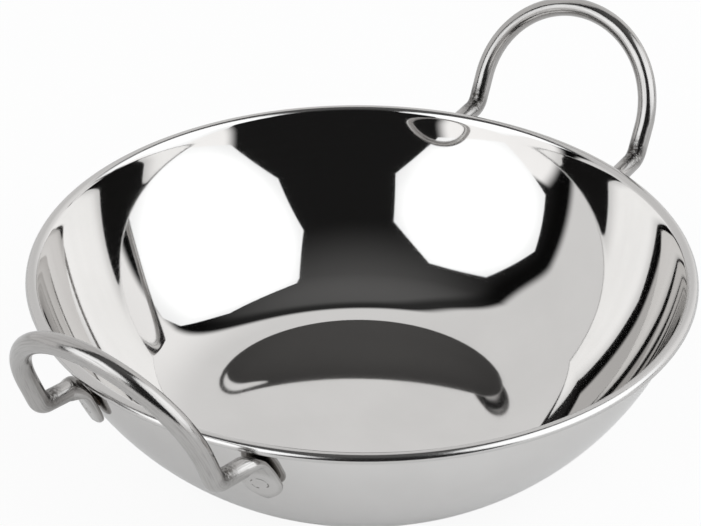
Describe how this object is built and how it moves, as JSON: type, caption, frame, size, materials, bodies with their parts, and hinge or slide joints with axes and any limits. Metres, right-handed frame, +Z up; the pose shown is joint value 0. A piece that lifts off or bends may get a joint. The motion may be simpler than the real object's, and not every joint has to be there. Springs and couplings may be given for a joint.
{
  "type": "balti dish",
  "caption": "Round-walled polished steel serving dish with a rolled lip, a flat base and bent wire loop handles spot-welded under the lip on opposite sides.",
  "frame": {"origin": "centre of the flat base, on the surface that the dish stands on", "axes": "+Z up out of the bowl, X along the line of the two handles, Y across it"},
  "size_m": [0.192, 0.15, 0.0696],
  "materials": {
    "polished_steel": "mirror-polished stainless steel sheet",
    "wire_steel": "polished stainless steel wire with drawing marks along its length",
    "weld_steel": "fused steel, hidden under the foot"
  },
  "bodies": {
    "root": {"bowl": "polished_steel", "right_handle": "wire_steel", "right_handle_front_weld": "weld_steel", "right_handle_rear_weld": "weld_steel", "left_handle": "wire_steel", "left_handle_front_weld": "weld_steel", "left_handle_rear_weld": "weld_steel"}
  },
  "joints": []
}
